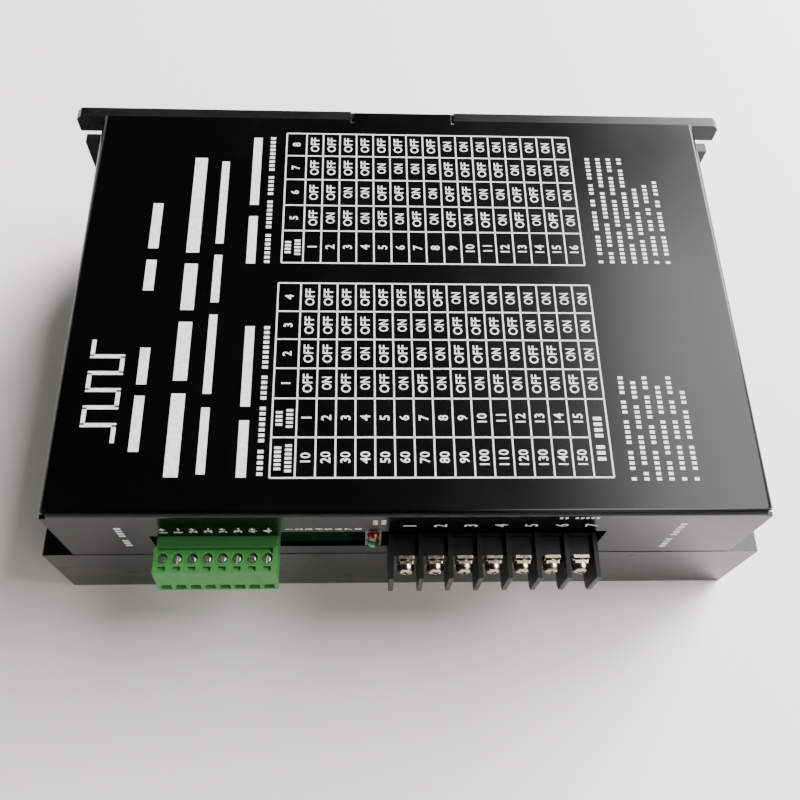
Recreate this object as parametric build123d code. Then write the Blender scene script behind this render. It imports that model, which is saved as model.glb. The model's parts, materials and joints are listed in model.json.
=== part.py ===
from build123d import *

import math
import os

# A stepper motor driver in a low metal case, lying on its finned heatsink. Millimetres.
# +X runs along the case, +Y from the terminals to the back face, +Z up through the printed cover.
# The origin is the middle of the heatsink's footprint, on the underside of the fins.

os.makedirs("parts", exist_ok=True)

# Heatsink: an extrusion with a finned base and an upright back flange
body_length = 200.0
body_depth = 132.0
base_top = 31.4
plate_t = 6.0
skirt_t = 2.5
fin_t = 2.0
fins_each_side = 6
flange_t = 3.5
flange_drop = 0.8
ear_slot_w = 5.2
ear_slot_drop = 9.0
ear_slot_depth = 8.4
ear_chamfer = 1.5

# Cover: one bent sheet
cover_inset = 8.5
headroom = 23.8
sheet_t = 1.2
bend_r = 1.6
joint_gap = 0.8
back_gap = 0.3
corner_slit = 0.4
corner_notch = 1.7
tab_w = 30.0
tab_inset = 1.2
tab_relief = 1.0
tab_relief_depth = 1.5
tab_clear = 0.2

# Cover fixings: four angle brackets inside the side flanges
bracket_y = 45.0
bracket_w = 12.0
bracket_foot = 10.0
bracket_rise = 16.0
bracket_t = 1.5
bracket_gap = 0.1
cover_screw_rise = 10.0

# Small machine screws, all of one size
screw_r = 1.45
screw_head_r = 2.8
screw_head_h = 2.0
thread_clear = 0.05
hole_clear = 0.25
screw_end_room = 0.5

# Main board on six standoffs
board_t = 1.6
board_end_gap = 4.3
board_front_gap = 0.3
board_back_gap = 1.5
standoff_h = 6.0
standoff_across = 5.5
standoff_stud = 4.0
standoff_end_inset = 14.0
standoff_front_inset = 18.0
standoff_back_inset = 13.0
pin_clear = 0.25

# Signal header and the plug that pulls off it, 8 ways
signal_ways = 8
signal_pitch = 3.81
signal_left = -65.7
signal_end = 0.36
header_h = 8.7
header_reach = 3.0
header_depth = 10.0
header_wall = 0.9
header_pin_w = 1.0
header_pin_z = 4.5
header_pin_back = 2.2
tongue_clear = 0.4
tongue_length = 7.5
plug_gap = 0.2
plug_rise = 0.3
plug_h = 10.7
plug_reach = 10.3
plug_nose = 11.25
plug_foot = 12.0
plug_nose_rise = 4.4
plug_screw_reach = 6.5
trough_w = 1.5
trough_depth = 1.2
plug_ridge = 0.6
collar_r = 1.75
plug_screw_hole_r = 1.38
plug_screw_head_r = 1.28
plug_screw_head_h = 1.4
plug_screw_sunk = 0.6
plug_screw_shank_r = 0.75
test_slot_w = 1.9
test_slot_l = 1.1
test_slot_depth = 0.9
test_slot_reach = 9.2
wire_hole_w = 2.0
wire_hole_h = 2.4
wire_hole_low = 1.0
wire_mouth_depth = 1.0
wire_mouth_taper = 15.0
cage_w = 2.6
cage_length = 4.4
cage_h = 5.8
cage_wall = 0.45
cage_clear = 0.12
plug_slot_angles = (-8, 90, -55, -78, -75, 85, -45, 80)

# Setting switch, 8 ways, set back behind the window
switch_ways = 8
switch_pitch = 2.54
switch_gap = 1.49
switch_end = 0.44
switch_set_back = 6.4
switch_depth = 5.5
switch_h = 9.9
slider_w = 1.0
slider_h = 1.8
slider_stand_out = 0.5
slider_travel = 2.0
slider_depth = 1.0
slider_clear = 0.12
slider_low = 3.0

# Two lamps in one holder
lamp_gap = 0.16
lamp_r = 1.5
lamp_tip = 1.9
lamp_low = 4.2
lamp_pitch = 5.6
lamp_clear = 0.08
lamp_rim = 0.25
holder_w = 4.2
holder_h = 12.0
holder_depth = 5.4

# Barrier block, 7 ways
power_ways = 7
power_pitch = 7.62
power_gap = 1.88
wall_between_t = 1.2
barrier_reach = 12.3
barrier_below = 5.0
barrier_wall_rise = 11.4
barrier_body_rise = 9.8
barrier_body_reach = 6.0
barrier_wall_below = 2.2
barrier_slant = 1.4
barrier_body_depth = 6.5
barrier_lip_h = 1.1
barrier_lip_t = 0.7
panel_clear = 0.2
plate_w = 4.2
plate_metal_t = 0.8
plate_rise = 3.0
plate_h = 7.6
plate_tail_w = 2.0
plate_tail_y = 4.6
washer_w = 4.4
washer_t = 0.8
washer_gap = 0.5
washer_lip_h = 0.4
washer_lip_w = 0.6
washer_boss_r = 2.05
terminal_rise = 8.0
terminal_shank_r = 1.45
terminal_head_r = 2.25
terminal_head_h = 1.9
terminal_length = 6.0
terminal_cross_angles = (18, 40, 5, 72, 30, 12, 55)

# Cut-outs in the cover's front flange
cut_below = 0.2
header_cut_left = 2.0
header_cut_clear = 0.25
window_rise = 12.1
window_clear = 0.43
power_cut_clear = 2.73
power_cut_over = 0.3

# Power stage against the back flange
transistor_count = 6
transistor_pitch = 20.0
transistor_x = -20.0
transistor_w = 15.9
transistor_t = 5.0
transistor_h = 20.0
transistor_rise = 2.5
lead_w = 1.2
lead_t = 0.6
lead_pitch = 5.45
lead_below = 1.4
insulator_t = 0.3
clamp_bar_h = 9.0
clamp_bar_t = 2.5
clamp_screw_length = 10.0
rectifier_x = 66.0
rectifier_w = 30.0
rectifier_h = 18.0
rectifier_t = 4.6
rectifier_lead_pitch = 7.5

# Larger parts on the board
capacitor_r = 11.0
capacitor_h = 22.0
capacitor_x = (22.0, 46.5, 71.0)
capacitor_back_inset = 31.0
relay_size = (19.0, 15.5, 15.0)
relay_at = (72.0, -6.0)
thermistor_r = 7.0
thermistor_t = 5.0
thermistor_x = 74.0
thermistor_front_inset = 30.5
thermistor_rise = 3.0
fuse_r = 2.6
fuse_length = 20.0
fuse_cap = 5.0
fuse_at = (44.0, -38.0)
fuse_rise = 6.0
choke_r = 11.0
choke_hole_r = 5.5
choke_h = 8.0
choke_at = (44.0, -12.0)
choke_wire_t = 1.4
choke_arc = 140.0
core_size = (20.0, 6.0, 17.0)
core_leg = 5.0
core_at = (10.0, -10.0)
coil_w = 14.4
coil_depth = 15.0
coil_clear = 0.2
chip_size = 12.0
chip_t = 1.4
chip_at = (-40.0, 5.0)
driver_size = (7.5, 10.3, 2.3)
driver_xs = (-56.0, -26.0, 2.0)
driver_back_inset = 27.0
coupler_size = (4.6, 6.5, 3.5)
coupler_front_inset = 22.5
shunt_size = (6.3, 3.2, 0.7)
shunt_xs = (-62.0, -20.0, 10.0)
shunt_back_inset = 12.0

# Levels and faces that several pieces share
front_y = -body_depth / 2
back_y = body_depth / 2
flange_front = back_y - flange_t
cover_end = body_length / 2 - cover_inset
cover_back = flange_front - back_gap
sheet_inside_y = front_y + sheet_t
sheet_inside_x = cover_end - sheet_t
board_under = base_top + standoff_h
board_top = board_under + board_t
cover_top = board_top + headroom + sheet_t
flange_top = cover_top - flange_drop
ear_slot_z = flange_top - ear_slot_drop
board_end = sheet_inside_x - board_end_gap
board_front = sheet_inside_y + board_front_gap
board_back = flange_front - board_back_gap
capacitor_y = board_back - capacitor_back_inset
header_front = front_y - header_reach
plug_bottom = board_top + plug_rise
plug_top = plug_bottom + plug_h
plug_nose_z = plug_bottom + plug_nose_rise
plug_back = header_front - plug_gap
barrier_front = front_y - barrier_body_reach
plate_back = barrier_front
plate_face = plate_back - plate_metal_t
plate_low = board_top + plate_rise
plate_high = plate_low + plate_h
terminal_z = board_top + terminal_rise
barrier_bottom = board_top - barrier_below
barrier_wall_top = board_top + barrier_wall_rise
barrier_body_top = board_top + barrier_body_rise
washer_face = plate_face - washer_gap - washer_t
signal_width = signal_ways * signal_pitch + 2 * signal_end
signal_x = signal_left + signal_width / 2
signal_right = signal_left + signal_width
switch_half = switch_ways * switch_pitch / 2 + switch_end
switch_x = signal_right + switch_gap + switch_half
lamp_x = switch_x + switch_half + lamp_gap + holder_w / 2
barrier_half = power_ways * power_pitch / 2 + wall_between_t / 2
barrier_left = lamp_x + holder_w / 2 + power_gap
power_x = barrier_left + barrier_half
power_xs = [power_x + power_pitch * (i - (power_ways - 1) / 2) for i in range(power_ways)]
signal_xs = [signal_x + signal_pitch * (i - (signal_ways - 1) / 2) for i in range(signal_ways)]
switch_xs = [switch_x + switch_pitch * (i - (switch_ways - 1) / 2) for i in range(switch_ways)]
transistor_xs = [
    transistor_x + transistor_pitch * (i - (transistor_count - 1) / 2)
    for i in range(transistor_count)
]
standoff_spots = [
    (x, y)
    for x in (standoff_end_inset - board_end, 0.0, board_end - standoff_end_inset)
    for y in (board_front + standoff_front_inset, board_back - standoff_back_inset)
]


def block(x0, x1, y0, y1, z0, z1):
    """A box between two corners."""
    size = Box(abs(x1 - x0), abs(y1 - y0), abs(z1 - z0))
    return Pos((x0 + x1) / 2, (y0 + y1) / 2, (z0 + z1) / 2) * size


def stood_on(x, y, z, size):
    """A box of a given size, centred on x and y, standing on level z."""
    return Pos(x, y, z + size[2] / 2) * Box(*size)


def rod(radius, start, end):
    """A round bar from one point to another."""
    line = Vector(*end) - Vector(*start)
    middle = (Vector(*start) + Vector(*end)) * 0.5
    return Plane(origin=middle, z_dir=line).location * Cylinder(radius, line.length)


def profile_x(points, x0, x1):
    """A YZ outline carried along X."""
    face = make_face(Plane.YZ * Polyline(*points, close=True))
    return Pos(x0, 0, 0) * extrude(face, x1 - x0, dir=(1, 0, 0))


def edges_near(shape, axis, position):
    """The straight edges at one coordinate of an axis."""
    return shape.edges().filter_by(GeomType.LINE).filter_by_position(axis, position - 0.01, position + 0.01)


def pan_screw(point, out, shank_r, head_r, head_h, length, drive, angle):
    """A domed-head screw. Its head stands on point, out of the work along out."""
    head = Pos(0, 0, head_h / 2) * Cylinder(head_r, head_h)
    head = fillet(head.edges().group_by(Axis.Z)[-1], min(head_r, head_h) * 0.6)
    recess = Pos(0, 0, head_h) * Box(head_r * 1.9, head_r * 0.32, head_h * 0.9)
    if drive == "cross":
        recess = Pos(0, 0, head_h) * (
            Box(head_r * 1.15, head_r * 0.28, head_h * 1.1)
            + Box(head_r * 0.28, head_r * 1.15, head_h * 1.1)
        )
    shank = Pos(0, 0, -length / 2) * Cylinder(shank_r, length)
    shank = chamfer(shank.edges().group_by(Axis.Z)[0], shank_r * 0.3)
    screw = Rot(0, 0, angle) * (head + shank - recess)
    across = (0, 0, 1) if abs(out[2]) < 0.5 else (1, 0, 0)
    return Plane(origin=point, x_dir=across, z_dir=out).location * screw


def save(node, *shapes):
    """Writes every solid of the shapes as one node."""
    solids = [solid for shape in shapes for solid in shape.solids()]
    whole = solids[0] if len(solids) == 1 else Compound(solids)
    export_step(whole, f"parts/{node}.step")


# Heatsink


def ear_slot(side):
    """An open slot through the flange at one end, round at its inner end."""
    round_x = body_length / 2 - ear_slot_depth + ear_slot_w / 2
    round_end = rod(
        ear_slot_w / 2,
        (side * round_x, flange_front - 1, ear_slot_z),
        (side * round_x, back_y + 1, ear_slot_z),
    )
    way_out = block(
        side * round_x,
        side * (body_length / 2 + 1),
        flange_front - 1,
        back_y + 1,
        ear_slot_z - ear_slot_w / 2,
        ear_slot_z + ear_slot_w / 2,
    )
    return round_end + way_out


def blind_hole(x, y, depth):
    return rod(screw_r + thread_clear, (x, y, base_top + 1), (x, y, base_top - depth))


def bracket_foot_x(side):
    return side * (sheet_inside_x - bracket_gap - bracket_foot / 2 - bracket_t / 2)


clamp_bar_back = flange_front - insulator_t - transistor_t
clamp_bar_low = board_top + transistor_rise + (transistor_h - clamp_bar_h) / 2
clamp_bar_mid = clamp_bar_low + clamp_bar_h / 2
clamp_screw_xs = [transistor_x + transistor_pitch * i for i in (-2, 0, 2)]


def heatsink():
    half = body_length / 2
    plate = block(-half, half, front_y, back_y, base_top - plate_t, base_top)
    skirt = block(-half, half, front_y, front_y + skirt_t, 0, base_top)
    flange = block(-half, half, flange_front, back_y, 0, flange_top)
    flange = chamfer(flange.edges().filter_by(Axis.Y).group_by(Axis.Z)[-1], ear_chamfer)
    body = plate + skirt + flange
    fin_pitch = (back_y - flange_t) / (fins_each_side + 1)
    for i in range(-fins_each_side, fins_each_side + 1):
        y = i * fin_pitch
        body += block(-half, half, y - fin_t / 2, y + fin_t / 2, 0, base_top - plate_t / 2)
    for side in (-1, 1):
        body -= ear_slot(side)
        for y in (-bracket_y, bracket_y):
            body -= blind_hole(bracket_foot_x(side), y, plate_t - 1)
    for x, y in standoff_spots:
        body -= blind_hole(x, y, plate_t - 1)
    tab_room = tab_w / 2 + tab_relief
    body -= block(
        -tab_room, tab_room, flange_front - 1, back_y + 1, cover_top - sheet_t - tab_clear, cover_top
    )
    for x in clamp_screw_xs:
        tip = clamp_bar_back - clamp_bar_t + clamp_screw_length + 0.2
        body -= rod(screw_r + thread_clear, (x, flange_front - 1, clamp_bar_mid), (x, tip, clamp_bar_mid))
    return body


# Cover

header_top = board_top + header_h
cover_screw_z = base_top + cover_screw_rise


def cover():
    low = base_top
    outer = block(-cover_end, cover_end, front_y, cover_back, low, cover_top)
    bends = edges_near(outer, Axis.Z, cover_top)
    outer = fillet(bends.sort_by(Axis.Y)[:-1], bend_r)
    inner = block(
        -sheet_inside_x, sheet_inside_x, sheet_inside_y, cover_back + 1, low - 1, cover_top - sheet_t
    )
    tops = edges_near(inner, Axis.Z, cover_top - sheet_t)
    inner = fillet(tops.sort_by(Axis.Y)[:-1], bend_r - sheet_t)
    sheet = outer - inner
    tab_back = back_y - tab_inset
    tab = block(-tab_w / 2, tab_w / 2, cover_back - 2, tab_back, cover_top - sheet_t, cover_top)
    sheet += tab
    for side in (-1, 1):
        sheet -= block(
            side * tab_w / 2,
            side * (tab_w / 2 + tab_relief),
            cover_back - tab_relief_depth,
            back_y,
            cover_top - 2 * sheet_t,
            cover_top + 1,
        )
        sheet -= block(
            side * (cover_end - sheet_t - 0.01),
            side * (cover_end + 1),
            sheet_inside_y,
            sheet_inside_y + corner_slit,
            low - 1,
            cover_top - corner_notch,
        )
        sheet -= block(
            side * (cover_end - corner_notch),
            side * (cover_end + 1),
            front_y - 1,
            front_y + corner_notch,
            cover_top - corner_notch,
            cover_top + 1,
        )
        for y in (-bracket_y, bracket_y):
            sheet -= rod(
                screw_r + hole_clear,
                (side * (cover_end + 1), y, cover_screw_z),
                (side * (sheet_inside_x - 1), y, cover_screw_z),
            )
    through = (front_y - 1, sheet_inside_y + 1)
    sheet -= block(-cover_end - 1, cover_end + 1, *through, low - 1, low + joint_gap)
    middle = signal_right + header_cut_clear + 0.75
    cut_left = signal_left - header_cut_left
    cut_bottom = board_top - cut_below
    window_right = barrier_left - window_clear
    header_cut_top = header_top + header_cut_clear
    sheet -= block(cut_left, middle + 0.01, *through, cut_bottom, header_cut_top)
    sheet -= block(middle, window_right + 0.01, *through, cut_bottom, board_top + window_rise)
    power_cut_right = power_x + barrier_half + power_cut_clear
    power_cut_top = barrier_wall_top + power_cut_over
    sheet -= block(window_right, power_cut_right, *through, cut_bottom, power_cut_top)
    return sheet


def cover_bracket(side, y):
    outside = side * (sheet_inside_x - bracket_gap)
    inside = outside - side * bracket_t
    upright = block(outside, inside, y - bracket_w / 2, y + bracket_w / 2, base_top, base_top + bracket_rise)
    foot = block(
        outside,
        inside - side * bracket_foot,
        y - bracket_w / 2,
        y + bracket_w / 2,
        base_top,
        base_top + bracket_t,
    )
    bracket = upright + foot
    x = bracket_foot_x(side)
    bracket -= rod(screw_r + hole_clear, (x, y, base_top - 1), (x, y, base_top + bracket_t + 1))
    bracket -= rod(
        screw_r + thread_clear,
        (outside + side, y, cover_screw_z),
        (inside - side, y, cover_screw_z),
    )
    return bracket


def small_screw(point, out, length, drive="cross", angle=0.0):
    return pan_screw(point, out, screw_r, screw_head_r, screw_head_h, length, drive, angle)


# Board and what holds it


def standoff(x, y):
    outline = Pos(x, y, base_top) * RegularPolygon(standoff_across / 2, 6, major_radius=False)
    hexagon = extrude(outline, standoff_h)
    hexagon -= rod(screw_r + thread_clear, (x, y, base_top + 1), (x, y, board_under + 1))
    return hexagon + rod(screw_r, (x, y, base_top + 0.5), (x, y, base_top - standoff_stud))


def main_board():
    board = block(-board_end, board_end, board_front, board_back, board_under, board_top)
    for x, y in standoff_spots:
        board -= rod(screw_r + hole_clear, (x, y, board_under - 1), (x, y, board_top + 1))
    holes = [(x, header_pin_y, header_pin_w * 0.71) for x in signal_xs]
    holes += [(x, plate_tail_centre, math.hypot(plate_tail_w, plate_metal_t) / 2) for x in power_xs]
    lead_y = flange_front - insulator_t - transistor_t / 2
    for x in transistor_xs:
        holes += [(x + i * lead_pitch, lead_y, lead_w * 0.56) for i in (-1, 0, 1)]
    rectifier_y = flange_front - rectifier_t / 2
    for i in (-1.5, -0.5, 0.5, 1.5):
        holes.append((rectifier_x + i * rectifier_lead_pitch, rectifier_y, lead_w * 0.56))
    for x, y, radius in holes:
        board -= rod(radius + pin_clear, (x, y, board_under - 1), (x, y, board_top + 1))
    return board


# Signal header and plug

header_back = header_front + header_depth
header_pin_level = board_top + header_pin_z
header_pin_y = header_back + header_pin_back
cavity_half = signal_width / 2 - header_wall
cavity_low = board_top + header_wall
cavity_high = header_top - header_wall
pin_half = header_pin_w / 2


def signal_header():
    shell = block(signal_left, signal_right, header_front, header_back, board_top, header_top)
    shell -= block(
        signal_x - cavity_half,
        signal_x + cavity_half,
        header_front - 1,
        header_back - header_wall,
        cavity_low,
        cavity_high,
    )
    for x in signal_xs:
        room = pin_half + 0.05
        shell -= block(
            x - room,
            x + room,
            header_back - header_wall - 1,
            header_back + 1,
            header_pin_level - room,
            header_pin_level + room,
        )
    return shell


def header_pin(x):
    ahead = block(
        x - pin_half,
        x + pin_half,
        header_front + 2.0,
        header_pin_y + pin_half,
        header_pin_level - pin_half,
        header_pin_level + pin_half,
    )
    down = block(
        x - pin_half,
        x + pin_half,
        header_pin_y - pin_half,
        header_pin_y + pin_half,
        board_under - lead_below,
        header_pin_level + pin_half,
    )
    return ahead + down


plug_front = front_y - plug_reach
plug_tip = front_y - plug_foot
plug_screw_y = front_y - plug_screw_reach
wire_low = plug_bottom + wire_hole_low
wire_high = wire_low + wire_hole_h
cage_low = wire_low - 0.1
cage_back = plug_screw_y + cage_length / 2
cage_front = plug_screw_y - cage_length / 2


def plug_housing():
    half = signal_width / 2
    outline = [
        (plug_back, plug_bottom),
        (plug_back, plug_top - 0.5),
        (plug_back - plug_ridge, plug_top),
        (plug_front, plug_top),
        (front_y - plug_nose, plug_nose_z),
        (plug_tip, plug_bottom + 0.4),
        (plug_tip + 0.4, plug_bottom),
    ]
    body = profile_x(outline, signal_x - half, signal_x + half)
    trough = block(
        signal_x - half + header_wall,
        signal_x + half - header_wall,
        plug_back - plug_ridge - trough_w,
        plug_back - plug_ridge,
        plug_top - trough_depth,
        plug_top + 1,
    )
    body -= trough
    for x in signal_xs:
        body += rod(collar_r, (x, plug_screw_y, plug_top - 2), (x, plug_screw_y, plug_top + 0.15))
    body += block(
        signal_x - cavity_half + tongue_clear,
        signal_x + cavity_half - tongue_clear,
        plug_back - 1,
        header_front + tongue_length,
        cavity_low + tongue_clear,
        cavity_high - tongue_clear,
    )
    for x in signal_xs:
        body -= rod(plug_screw_hole_r, (x, plug_screw_y, cage_low + 2), (x, plug_screw_y, plug_top + 1))
        slot_y = front_y - test_slot_reach
        body -= block(
            x - test_slot_w / 2,
            x + test_slot_w / 2,
            slot_y - test_slot_l / 2,
            slot_y + test_slot_l / 2,
            plug_top - test_slot_depth,
            plug_top + 1,
        )
        mouth_y = plug_tip + wire_mouth_depth
        mouth = make_face(
            Plane(origin=(x, mouth_y, (wire_low + wire_high) / 2), z_dir=(0, -1, 0))
            * Rectangle(wire_hole_w, wire_hole_h)
        )
        body -= extrude(mouth, cage_front - mouth_y + 0.5, dir=(0, 1, 0))
        body -= extrude(mouth, wire_mouth_depth + 0.5, dir=(0, -1, 0), taper=-wire_mouth_taper)
        room = cage_w / 2 + cage_clear
        body -= block(
            x - room,
            x + room,
            cage_front - cage_clear,
            cage_back + cage_clear,
            cage_low - cage_clear,
            cage_low + cage_h + cage_clear,
        )
        grip = header_pin_w / 2 + tongue_clear
        body -= block(
            x - grip,
            x + grip,
            cage_back,
            header_front + tongue_length + 1,
            header_pin_level - grip,
            header_pin_level + grip,
        )
    return body


def plug_cage(x):
    cage = block(x - cage_w / 2, x + cage_w / 2, cage_front, cage_back, cage_low, cage_low + cage_h)
    cage -= block(
        x - cage_w / 2 + cage_wall,
        x + cage_w / 2 - cage_wall,
        cage_front - 1,
        cage_back + 1,
        cage_low + cage_wall,
        wire_high,
    )
    hole = plug_screw_shank_r + thread_clear
    return cage - rod(hole, (x, plug_screw_y, wire_high - 1), (x, plug_screw_y, cage_low + cage_h + 1))


def plug_screw(x, angle):
    seat = plug_top - plug_screw_sunk - plug_screw_head_h
    return pan_screw(
        (x, plug_screw_y, seat),
        (0, 0, 1),
        plug_screw_shank_r,
        plug_screw_head_r,
        plug_screw_head_h,
        seat - wire_high,
        "slot",
        angle,
    )


# Setting switch

switch_front = front_y + switch_set_back
slider_base = board_top + slider_low


def switch_body():
    body = block(
        switch_x - switch_half,
        switch_x + switch_half,
        switch_front,
        switch_front + switch_depth,
        board_top,
        board_top + switch_h,
    )
    for x in switch_xs:
        body -= block(
            x - slider_w / 2 - slider_clear,
            x + slider_w / 2 + slider_clear,
            switch_front - 1,
            switch_front + slider_depth + slider_clear,
            slider_base - slider_clear,
            slider_base + slider_h + slider_travel + slider_clear,
        )
    return body


def switch_slider(x):
    knob = block(
        x - slider_w / 2,
        x + slider_w / 2,
        switch_front - slider_stand_out,
        switch_front + slider_depth,
        slider_base,
        slider_base + slider_h,
    )
    return chamfer(edges_near(knob, Axis.Y, switch_front - slider_stand_out), 0.15)


# Lamps

holder_front = front_y + 0.1
lamp_levels = (board_top + lamp_low, board_top + lamp_low + lamp_pitch)


def lamp_holder():
    holder = block(
        lamp_x - holder_w / 2,
        lamp_x + holder_w / 2,
        holder_front,
        holder_front + holder_depth,
        board_top,
        board_top + holder_h,
    )
    for z in lamp_levels:
        bore = lamp_r + lamp_rim + lamp_clear
        holder -= rod(bore, (lamp_x, holder_front - 1, z), (lamp_x, holder_front + holder_depth - 1, z))
    return holder


def lamp(z):
    tip = front_y - lamp_tip
    barrel = rod(lamp_r, (lamp_x, tip + lamp_r, z), (lamp_x, holder_front + 3.5, z))
    dome = Pos(lamp_x, tip + lamp_r, z) * Sphere(lamp_r)
    rim = rod(lamp_r + lamp_rim, (lamp_x, holder_front + 3.2, z), (lamp_x, holder_front + 4.2, z))
    return barrel + dome + rim


# Barrier block

barrier_back = board_front + barrier_body_depth
ahead_of_panel = front_y - panel_clear
plate_tail_centre = board_front + plate_tail_y
tail_half = plate_tail_w / 2
tail_room = 0.1


def barrier_block():
    outline = [
        (barrier_back, board_top),
        (barrier_back, barrier_body_top),
        (ahead_of_panel, barrier_body_top),
        (ahead_of_panel, barrier_body_top + barrier_lip_h),
        (ahead_of_panel - barrier_lip_t, barrier_body_top + barrier_lip_h),
        (ahead_of_panel - barrier_lip_t, barrier_body_top),
        (barrier_front, barrier_body_top),
        (barrier_front, barrier_bottom),
        (ahead_of_panel, barrier_bottom),
        (ahead_of_panel, board_top),
    ]
    body = profile_x(outline, power_x - barrier_half, power_x + barrier_half)
    tip = front_y - barrier_reach
    wall_low = board_top - barrier_wall_below
    wall_outline = [
        (tip + barrier_slant, wall_low),
        (tip, wall_low + barrier_slant),
        (tip, barrier_wall_top),
        (ahead_of_panel, barrier_wall_top),
        (ahead_of_panel, wall_low),
    ]
    for i in range(power_ways + 1):
        x = power_x + power_pitch * (i - power_ways / 2)
        body += profile_x(wall_outline, x - wall_between_t / 2, x + wall_between_t / 2)
    for x in power_xs:
        body -= rod(
            terminal_shank_r + hole_clear,
            (x, barrier_front - 1, terminal_z),
            (x, washer_face + terminal_length + screw_end_room, terminal_z),
        )
        side = tail_half + tail_room
        body -= block(
            x - side,
            x + side,
            barrier_front - 1,
            plate_tail_centre + plate_metal_t / 2 + tail_room,
            plate_low - tail_room,
            plate_low + plate_metal_t + tail_room,
        )
        body -= block(
            x - side,
            x + side,
            plate_tail_centre - plate_metal_t / 2 - tail_room,
            plate_tail_centre + plate_metal_t / 2 + tail_room,
            board_top - 1,
            plate_low + plate_metal_t,
        )
    return body


def barrier_plate(x):
    plate = block(x - plate_w / 2, x + plate_w / 2, plate_face, plate_back, plate_low, plate_high)
    tail_end = plate_tail_centre + plate_metal_t / 2
    plate += block(
        x - tail_half, x + tail_half, plate_face, tail_end, plate_low, plate_low + plate_metal_t
    )
    plate += block(
        x - tail_half,
        x + tail_half,
        plate_tail_centre - plate_metal_t / 2,
        tail_end,
        board_under - lead_below,
        plate_low + plate_metal_t,
    )
    hole = terminal_shank_r + thread_clear
    return plate - rod(hole, (x, plate_face - 1, terminal_z), (x, plate_back + 1, terminal_z))


def barrier_washer(x):
    half = washer_w / 2
    washer = block(
        x - half, x + half, washer_face, washer_face + washer_t, terminal_z - half, terminal_z + half
    )
    washer = chamfer(washer.edges().filter_by(Axis.Y), 0.5)
    washer_back = washer_face + washer_t
    for side in (-1, 1):
        washer += block(
            x + side * half,
            x + side * (half - washer_lip_w),
            washer_back - 0.1,
            washer_back + washer_lip_h,
            terminal_z - half + 0.7,
            terminal_z + half - 0.7,
        )
    boss_end = (x, washer_back + washer_lip_h, terminal_z)
    washer += rod(washer_boss_r, (x, washer_back - 0.1, terminal_z), boss_end)
    hole = terminal_shank_r + hole_clear
    return washer - rod(hole, (x, washer_face - 1, terminal_z), (x, washer_face + 2, terminal_z))


def barrier_screw(x, angle):
    return pan_screw(
        (x, washer_face, terminal_z),
        (0, -1, 0),
        terminal_shank_r,
        terminal_head_r,
        terminal_head_h,
        terminal_length,
        "cross",
        angle,
    )


# Power stage


def leads(xs, y):
    legs = [
        block(
            x - lead_w / 2,
            x + lead_w / 2,
            y - lead_t / 2,
            y + lead_t / 2,
            board_under - lead_below,
            board_top + transistor_rise + 0.5,
        )
        for x in xs
    ]
    return legs


def power_transistor(x):
    back = flange_front - insulator_t
    low = board_top + transistor_rise
    body = block(
        x - transistor_w / 2, x + transistor_w / 2, back - transistor_t, back, low, low + transistor_h
    )
    body = chamfer(edges_near(body, Axis.Y, back - transistor_t), 0.5)
    for leg in leads([x + i * lead_pitch for i in (-1, 0, 1)], back - transistor_t / 2):
        body += leg
    return body


def transistor_span(margin):
    half = transistor_pitch * (transistor_count - 1) / 2 + transistor_w / 2 + margin
    return transistor_x - half, transistor_x + half


def insulating_strip():
    low = board_top + transistor_rise
    strip = block(
        *transistor_span(1.5), flange_front - insulator_t, flange_front, low - 1, low + transistor_h + 1
    )
    for x in clamp_screw_xs:
        strip -= rod(
            screw_r + hole_clear,
            (x, flange_front - 1, clamp_bar_mid),
            (x, flange_front + 1, clamp_bar_mid),
        )
    return strip


def clamp_bar():
    front = clamp_bar_back - clamp_bar_t
    bar = block(*transistor_span(0), front, clamp_bar_back, clamp_bar_low, clamp_bar_low + clamp_bar_h)
    for x in clamp_screw_xs:
        hole = screw_r + hole_clear
        bar -= rod(hole, (x, front - 1, clamp_bar_mid), (x, clamp_bar_back + 1, clamp_bar_mid))
    return bar


def bridge_rectifier():
    low = board_top + transistor_rise
    body = block(
        rectifier_x - rectifier_w / 2,
        rectifier_x + rectifier_w / 2,
        flange_front - rectifier_t,
        flange_front,
        low,
        low + rectifier_h,
    )
    body = chamfer(edges_near(body, Axis.Y, flange_front - rectifier_t), 0.6)
    xs = [rectifier_x + i * rectifier_lead_pitch for i in (-1.5, -0.5, 0.5, 1.5)]
    for leg in leads(xs, flange_front - rectifier_t / 2):
        body += leg
    return body


# Parts on the board


def bulk_capacitor(x):
    can = Pos(x, capacitor_y, board_top + capacitor_h / 2) * Cylinder(capacitor_r, capacitor_h)
    can = fillet(can.edges().group_by(Axis.Z)[-1], 1.0)
    ring = Pos(x, capacitor_y, board_top + 3.0) * Torus(capacitor_r + 0.4, 1.0)
    dish = rod(
        capacitor_r - 1.5,
        (x, capacitor_y, board_top + capacitor_h - 0.4),
        (x, capacitor_y, board_top + capacitor_h + 1),
    )
    return can - ring - dish


def inrush_relay():
    box = stood_on(*relay_at, board_top, relay_size)
    box = fillet(box.edges().filter_by(Axis.Z), 1.0)
    return chamfer(box.edges().group_by(Axis.Z)[-1], 0.6)


def thermistor():
    x = thermistor_x
    y = board_front + thermistor_front_inset
    z = board_top + thermistor_rise + thermistor_r
    disc = rod(thermistor_r, (x, y - thermistor_t / 2, z), (x, y + thermistor_t / 2, z))
    disc = fillet(disc.edges(), 0.8)
    for side in (-1, 1):
        leg_x = x + side * thermistor_r / 2
        disc += rod(lead_t, (leg_x, y, board_top), (leg_x, y, z))
    return disc


fuse_level = board_top + fuse_rise


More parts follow.
